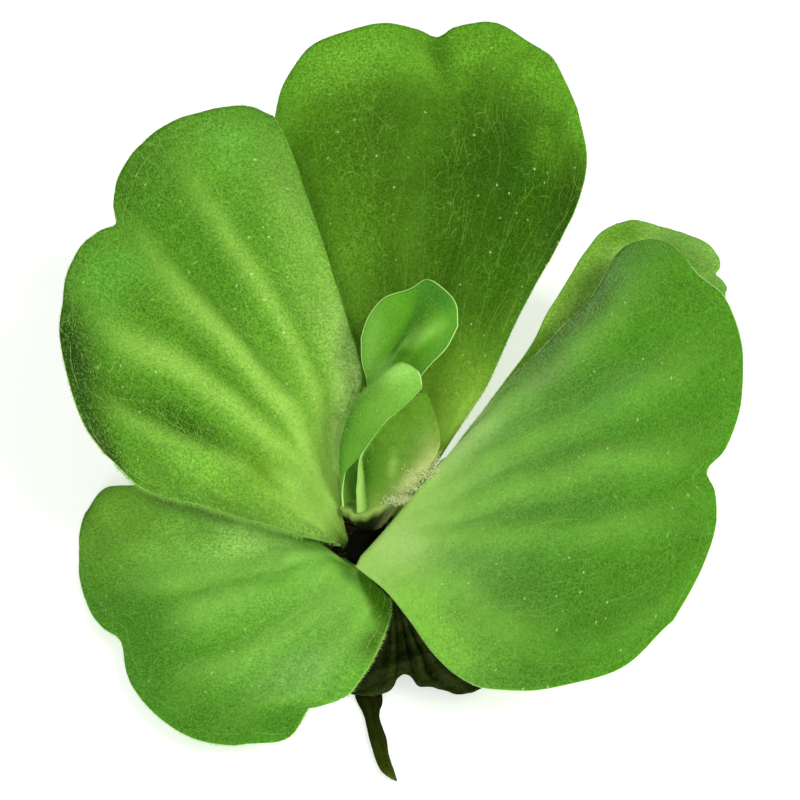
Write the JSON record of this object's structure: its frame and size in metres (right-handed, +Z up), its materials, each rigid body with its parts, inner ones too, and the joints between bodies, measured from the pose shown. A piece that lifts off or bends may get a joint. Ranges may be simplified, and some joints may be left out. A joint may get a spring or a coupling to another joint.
{
  "type": "water lettuce plant",
  "caption": "Small floating rosette of ribbed, hairy, notched green leaves around a short crown, picked and resting on its root mat.",
  "frame": {"origin": "on the root mat's flat underside, under the crown", "axes": "+Z up, away from the surface the plant rests on; +Y from the front of the rosette to its tallest leaf at the back; +X to the right"},
  "size_m": [0.076, 0.0836, 0.0372],
  "materials": {
    "leaf_back": "dense short hair, dark green",
    "leaf_left": "dense short hair, mid green with paler ribs",
    "leaf_front_left": "dense short hair, mid green with paler ribs",
    "leaf_right": "dense short hair, mid green with paler ribs",
    "leaf_right_back": "dense short hair, mid green",
    "young_leaf_back": "dense short hair, light green with a pale rim",
    "young_leaf_front": "dense short hair, light green with a pale rim",
    "sheath": "thin translucent skin, olive with a pale lip",
    "crown": "pale green flesh, satin",
    "withered_leaf": "dry and wrinkled, dark olive brown",
    "stolon": "limp, dark olive",
    "root_mat": "fibrous, dark brown"
  },
  "bodies": {
    "root": {"leaf_back": "leaf_back", "leaf_left": "leaf_left", "leaf_front_left": "leaf_front_left", "leaf_right": "leaf_right", "leaf_right_back": "leaf_right_back", "young_leaf_back": "young_leaf_back", "young_leaf_front": "young_leaf_front", "sheath": "sheath", "crown": "crown", "withered_leaf": "withered_leaf", "stolon": "stolon", "root_mat": "root_mat"}
  },
  "joints": []
}
